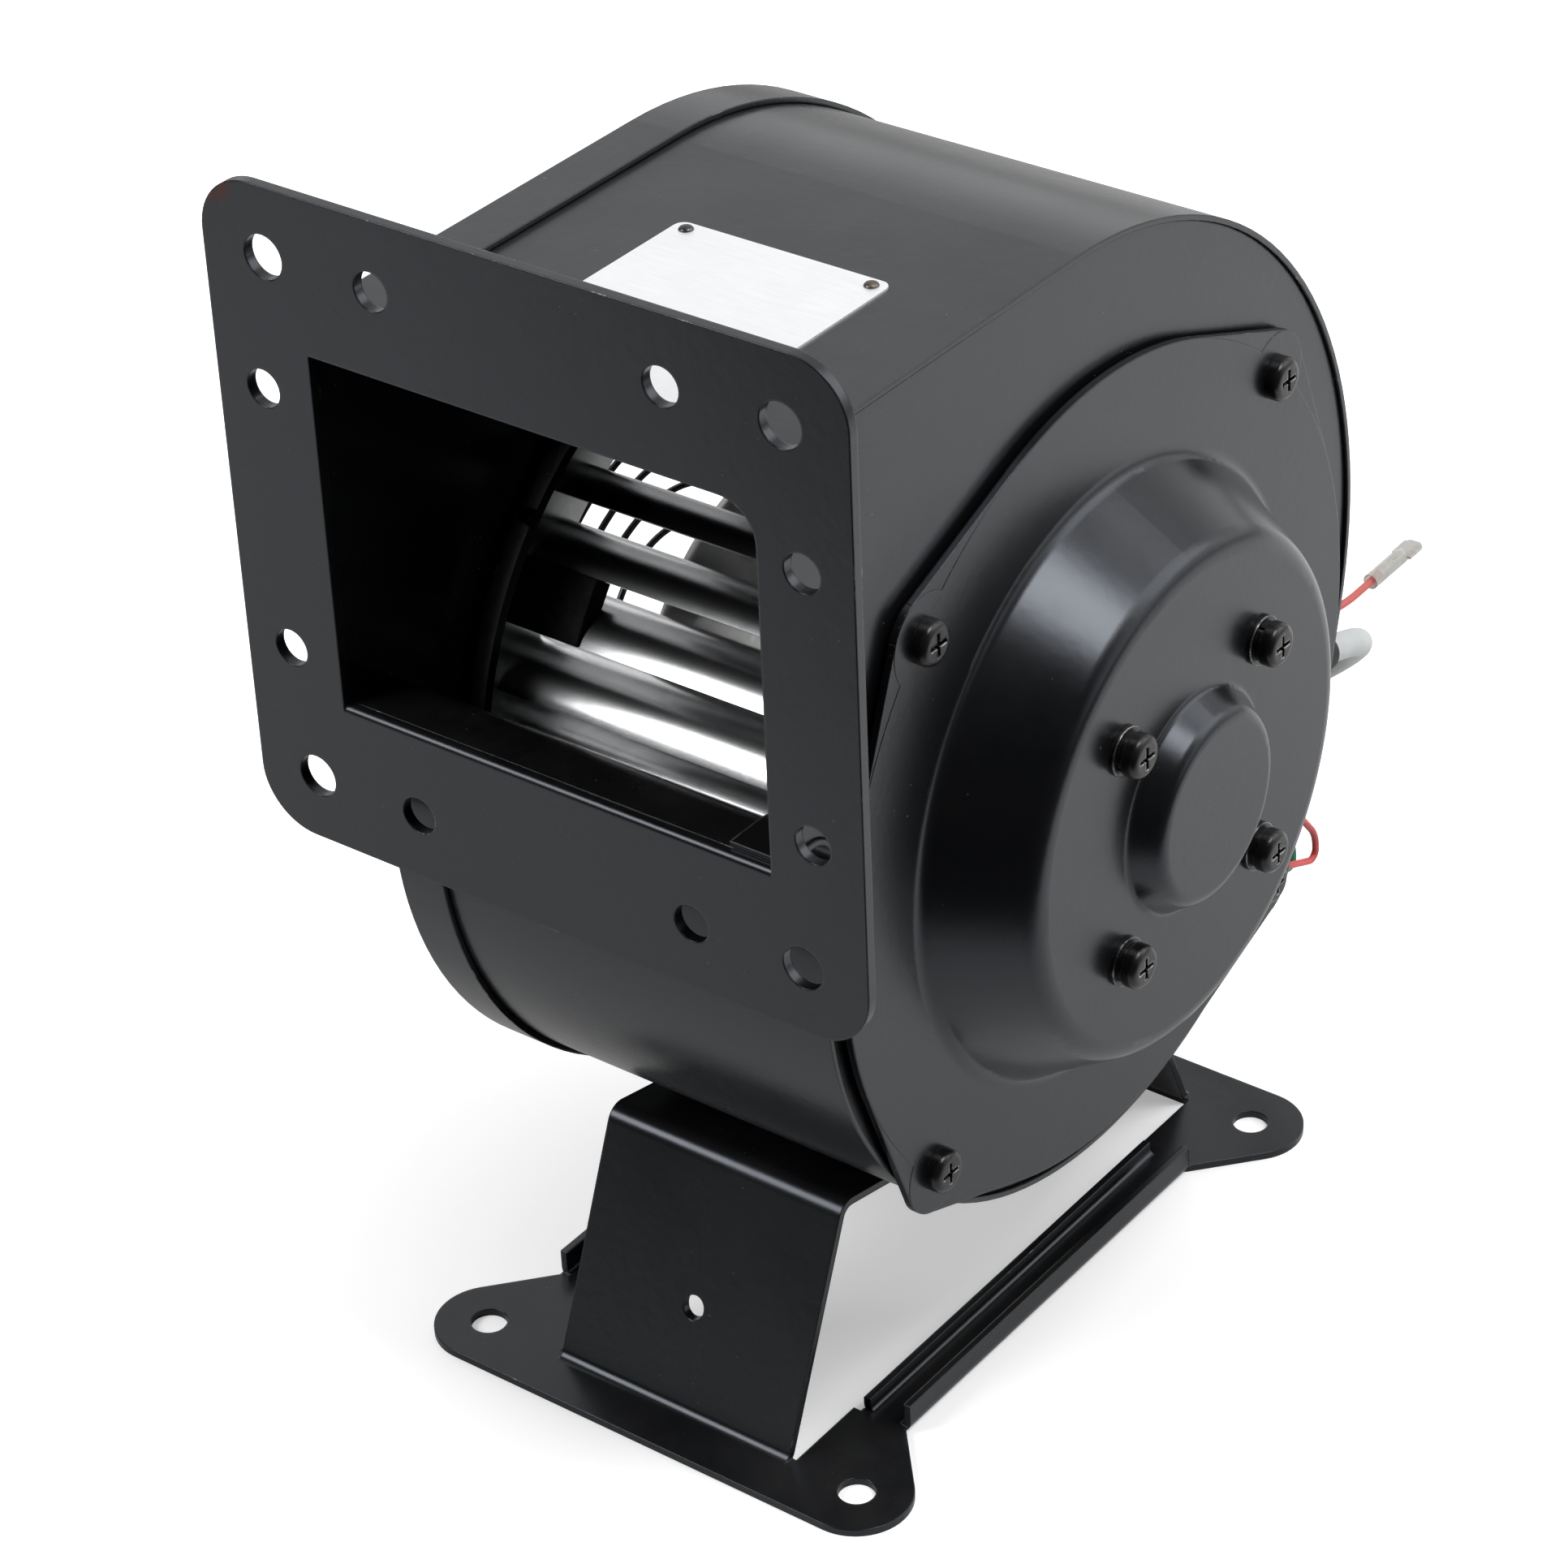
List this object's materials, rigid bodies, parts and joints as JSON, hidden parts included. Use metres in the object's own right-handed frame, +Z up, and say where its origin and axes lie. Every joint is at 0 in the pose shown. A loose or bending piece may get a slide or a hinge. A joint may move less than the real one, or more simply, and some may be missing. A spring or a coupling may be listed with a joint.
{
  "type": "centrifugal draft fan",
  "caption": "Scroll-cased centrifugal draft fan with an outer-rotor motor in a pressed cup, a flanged rectangular outlet and a pressed steel foot.",
  "frame": {"origin": "centre of the four foot holes, on the floor under the foot", "axes": "+Z up, the shaft lies along X with the motor on the +X side, and the outlet faces -Y"},
  "size_m": [0.1645, 0.3691, 0.2464],
  "materials": {
    "black_paint": "semi-gloss black stoved paint",
    "black_fastener": "black oxide, slightly oily",
    "galvanised_steel": "bright galvanised sheet",
    "bright_steel": "bright steel",
    "cast_aluminium": "as cast",
    "copper_wire": "enamelled copper",
    "motor_shell": "zinc plated",
    "dark_clip": "dark spring steel",
    "bare_plate": "satin, left bare",
    "black_plastic": "black moulded box",
    "black_rubber": "matt rubber",
    "grey_sheath": "grey sheath",
    "red_insulation": "insulation",
    "clear_sleeve": "clear sleeve",
    "green_insulation": "insulation"
  },
  "bodies": {
    "housing": {"cable_gland": "black_rubber", "capacitor_carrier": "black_paint", "capacitor_leads": "green_insulation", "core_sleeves": "clear_sleeve", "core_terminals": "bright_steel", "core_wires": "red_insulation", "far_bearing": "bright_steel", "guard_screws": "black_fastener", "inlet_bell_mouth": "black_paint", "inlet_guard": "black_paint", "inlet_side_cover": "black_paint", "lead_bush": "black_rubber", "motor_flat_washers": "black_fastener", "motor_mount_plate": "black_paint", "motor_screws": "black_fastener", "motor_side_plate": "black_paint", "motor_spring_washers": "black_fastener", "mount_plate_screws": "black_fastener", "near_bearing": "bright_steel", "outlet_flange": "black_paint", "rating_plate": "bare_plate", "rating_plate_rivets": "bare_plate", "run_capacitor": "black_plastic", "scroll_wrapper": "black_paint", "stator_bracket": "cast_aluminium", "stator_core": "bright_steel", "stator_windings": "copper_wire", "supply_cable": "grey_sheath", "support_bracket": "black_paint"},
    "rotor": {"shaft": "bright_steel", "retaining_ring": "bright_steel", "rotor_shell": "motor_shell", "rotor_core": "bright_steel", "impeller_back_disc": "galvanised_steel", "impeller_inlet_ring": "galvanised_steel", "impeller_blades": "galvanised_steel", "balance_clip": "dark_clip"}
  },
  "joints": [
    {"name": "fan_spin", "type": "hinge", "parent": "housing", "child": "rotor", "pos_m": [0, 0.0043, 0.1207], "axis": [1, 0, 0], "continuous": true}
  ]
}
